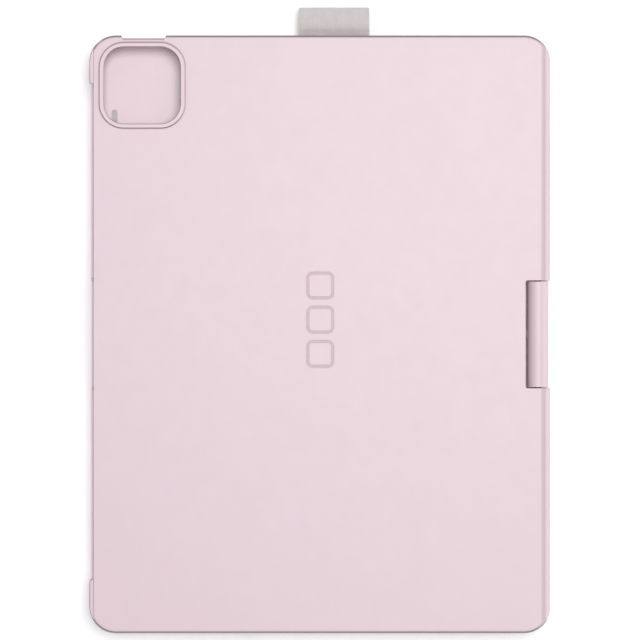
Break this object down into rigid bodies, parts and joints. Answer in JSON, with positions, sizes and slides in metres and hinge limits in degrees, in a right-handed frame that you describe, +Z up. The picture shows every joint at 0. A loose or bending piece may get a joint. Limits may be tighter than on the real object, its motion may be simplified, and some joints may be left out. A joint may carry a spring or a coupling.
{
  "type": "tablet keyboard case",
  "caption": "Slim clamshell case that holds a tablet in its lid over a keyboard and trackpad base, joined by one centre hinge that swivels and tilts, with an elastic pen loop.",
  "frame": {"origin": "middle of the closed case with its pen loop, on the plane that the rubber feet stand on", "axes": "+X to the typist's right along the hinge, +Y from the front edge to the hinge, +Z up"},
  "size_m": [0.2658, 0.195, 0.0176],
  "materials": {
    "case_plastic": "smooth satin, pale pink",
    "key_plastic": "fine matt, paler pink",
    "trackpad_surface": "very smooth satin, pale pink",
    "rubber": "matt grey",
    "elastic_weave": "ribbed elastic, silver grey",
    "liner_fabric": "short microfibre nap",
    "steel": "fine brushed",
    "dark_steel": "blackened, satin",
    "plated_steel": "dull plated sheet",
    "hinge_metal": "satin",
    "film": "thin polyester film",
    "white_plastic": "plain moulded",
    "soft_rubber": "translucent white",
    "circuit_board": "green solder mask",
    "black_plastic": "moulded",
    "battery_foil": "wrapped foil cell",
    "light_window": "clear light pipe",
    "magnet_metal": "bright plated"
  },
  "bodies": {
    "base": {"base_deck": "case_plastic", "base_bottom_cover": "case_plastic", "cover_screws": "steel", "rubber_feet": "rubber", "bumper_strips": "rubber", "pen_loop": "elastic_weave", "key_support_plate": "plated_steel", "key_membrane": "film", "key_scissors": "white_plastic", "key_domes": "soft_rubber", "main_circuit_board": "circuit_board", "charging_socket": "steel", "power_switch_housing": "black_plastic", "battery_pack": "battery_foil", "flat_cable": "film", "status_light_window": "light_window", "closing_magnets": "magnet_metal", "trackpad_bracket": "plated_steel", "trackpad_switch": "steel", "swivel_bushing": "white_plastic", "thrust_washer": "white_plastic", "hinge_bracket_plate": "plated_steel", "hinge_screws": "steel", "wave_washer": "steel"},
    "hinge_block": {"hinge_core": "hinge_metal", "hinge_barrel_cover": "case_plastic", "torque_clip_left": "steel", "torque_clip_right": "steel", "swivel_retaining_clip": "steel"},
    "lid": {"lid_shell": "case_plastic", "lid_liner": "liner_fabric", "lid_ear_insert_left": "dark_steel", "tilt_axle_left": "dark_steel", "lid_ear_insert_right": "dark_steel", "tilt_axle_right": "dark_steel"},
    "trackpad": {"trackpad_surface": "trackpad_surface", "trackpad_board": "circuit_board"},
    "power_switch": {"power_switch_slider": "key_plastic"},
    "keys_function_row": {"keys_function_row": "key_plastic"},
    "keys_number_row": {"keys_number_row": "key_plastic"},
    "key_delete": {"key_delete": "key_plastic"},
    "key_tab": {"key_tab": "key_plastic"},
    "keys_upper_letter_row": {"keys_upper_letter_row": "key_plastic"},
    "key_caps": {"key_caps": "key_plastic"},
    "keys_home_letter_row": {"keys_home_letter_row": "key_plastic"},
    "key_enter": {"key_enter": "key_plastic"},
    "key_shift_left": {"key_shift_left": "key_plastic"},
    "keys_lower_letter_row": {"keys_lower_letter_row": "key_plastic"},
    "key_shift_right": {"key_shift_right": "key_plastic"},
    "key_fn": {"key_fn": "key_plastic"},
    "key_control": {"key_control": "key_plastic"},
    "key_alt_left": {"key_alt_left": "key_plastic"},
    "key_command_left": {"key_command_left": "key_plastic"},
    "key_space": {"key_space": "key_plastic"},
    "key_command_right": {"key_command_right": "key_plastic"},
    "key_alt_right": {"key_alt_right": "key_plastic"},
    "key_arrow_left": {"key_arrow_left": "key_plastic"},
    "key_arrow_up": {"key_arrow_up": "key_plastic"},
    "key_arrow_down": {"key_arrow_down": "key_plastic"},
    "key_arrow_right": {"key_arrow_right": "key_plastic"}
  },
  "joints": [
    {"name": "hinge_swivel", "type": "hinge", "parent": "base", "child": "hinge_block", "pos_m": [0.0066, 0.0922, 0.0128], "axis": [0, 0, 1], "range_deg": [0, 180]},
    {"name": "lid_tilt", "type": "hinge", "parent": "hinge_block", "child": "lid", "pos_m": [0.0066, 0.0922, 0.0128], "axis": [-1, 0, 0], "range_deg": [0, 180]},
    {"name": "trackpad_click", "type": "hinge", "parent": "base", "child": "trackpad", "pos_m": [0.0066, -0.024, 0.0066], "axis": [1, 0, 0], "range_deg": [0, 0.5], "stiffness_Nm_per_rad": 4, "springref_deg": -0.17},
    {"name": "power_switch_slide", "type": "slide", "parent": "base", "child": "power_switch", "axis": [0, 1, 0], "range_m": [0, 0.003]},
    {"name": "function_row_press", "type": "slide", "parent": "base", "child": "keys_function_row", "axis": [0, 0, -1], "range_m": [0, 0.0011], "stiffness_N_per_m": 7000, "springref_m": -0.0003},
    {"name": "number_row_press", "type": "slide", "parent": "base", "child": "keys_number_row", "axis": [0, 0, -1], "range_m": [0, 0.0011], "stiffness_N_per_m": 6500, "springref_m": -0.0003},
    {"name": "delete_press", "type": "slide", "parent": "base", "child": "key_delete", "axis": [0, 0, -1], "range_m": [0, 0.0011], "stiffness_N_per_m": 500, "springref_m": -0.0003},
    {"name": "tab_press", "type": "slide", "parent": "base", "child": "key_tab", "axis": [0, 0, -1], "range_m": [0, 0.0011], "stiffness_N_per_m": 500, "springref_m": -0.0003},
    {"name": "upper_letter_row_press", "type": "slide", "parent": "base", "child": "keys_upper_letter_row", "axis": [0, 0, -1], "range_m": [0, 0.0011], "stiffness_N_per_m": 6500, "springref_m": -0.0003},
    {"name": "caps_press", "type": "slide", "parent": "base", "child": "key_caps", "axis": [0, 0, -1], "range_m": [0, 0.0011], "stiffness_N_per_m": 500, "springref_m": -0.0003},
    {"name": "home_letter_row_press", "type": "slide", "parent": "base", "child": "keys_home_letter_row", "axis": [0, 0, -1], "range_m": [0, 0.0011], "stiffness_N_per_m": 5500, "springref_m": -0.0003},
    {"name": "enter_press", "type": "slide", "parent": "base", "child": "key_enter", "axis": [0, 0, -1], "range_m": [0, 0.0011], "stiffness_N_per_m": 500, "springref_m": -0.0003},
    {"name": "shift_left_press", "type": "slide", "parent": "base", "child": "key_shift_left", "axis": [0, 0, -1], "range_m": [0, 0.0011], "stiffness_N_per_m": 500, "springref_m": -0.0003},
    {"name": "lower_letter_row_press", "type": "slide", "parent": "base", "child": "keys_lower_letter_row", "axis": [0, 0, -1], "range_m": [0, 0.0011], "stiffness_N_per_m": 5000, "springref_m": -0.0003},
    {"name": "shift_right_press", "type": "slide", "parent": "base", "child": "key_shift_right", "axis": [0, 0, -1], "range_m": [0, 0.0011], "stiffness_N_per_m": 500, "springref_m": -0.0003},
    {"name": "fn_press", "type": "slide", "parent": "base", "child": "key_fn", "axis": [0, 0, -1], "range_m": [0, 0.0011], "stiffness_N_per_m": 500, "springref_m": -0.0003},
    {"name": "control_press", "type": "slide", "parent": "base", "child": "key_control", "axis": [0, 0, -1], "range_m": [0, 0.0011], "stiffness_N_per_m": 500, "springref_m": -0.0003},
    {"name": "alt_left_press", "type": "slide", "parent": "base", "child": "key_alt_left", "axis": [0, 0, -1], "range_m": [0, 0.0011], "stiffness_N_per_m": 500, "springref_m": -0.0003},
    {"name": "command_left_press", "type": "slide", "parent": "base", "child": "key_command_left", "axis": [0, 0, -1], "range_m": [0, 0.0011], "stiffness_N_per_m": 500, "springref_m": -0.0003},
    {"name": "space_press", "type": "slide", "parent": "base", "child": "key_space", "axis": [0, 0, -1], "range_m": [0, 0.0011], "stiffness_N_per_m": 500, "springref_m": -0.0003},
    {"name": "command_right_press", "type": "slide", "parent": "base", "child": "key_command_right", "axis": [0, 0, -1], "range_m": [0, 0.0011], "stiffness_N_per_m": 500, "springref_m": -0.0003},
    {"name": "alt_right_press", "type": "slide", "parent": "base", "child": "key_alt_right", "axis": [0, 0, -1], "range_m": [0, 0.0011], "stiffness_N_per_m": 500, "springref_m": -0.0003},
    {"name": "arrow_left_press", "type": "slide", "parent": "base", "child": "key_arrow_left", "axis": [0, 0, -1], "range_m": [0, 0.0011], "stiffness_N_per_m": 500, "springref_m": -0.0003},
    {"name": "arrow_up_press", "type": "slide", "parent": "base", "child": "key_arrow_up", "axis": [0, 0, -1], "range_m": [0, 0.0011], "stiffness_N_per_m": 500, "springref_m": -0.0003},
    {"name": "arrow_down_press", "type": "slide", "parent": "base", "child": "key_arrow_down", "axis": [0, 0, -1], "range_m": [0, 0.0011], "stiffness_N_per_m": 500, "springref_m": -0.0003},
    {"name": "arrow_right_press", "type": "slide", "parent": "base", "child": "key_arrow_right", "axis": [0, 0, -1], "range_m": [0, 0.0011], "stiffness_N_per_m": 500, "springref_m": -0.0003}
  ]
}
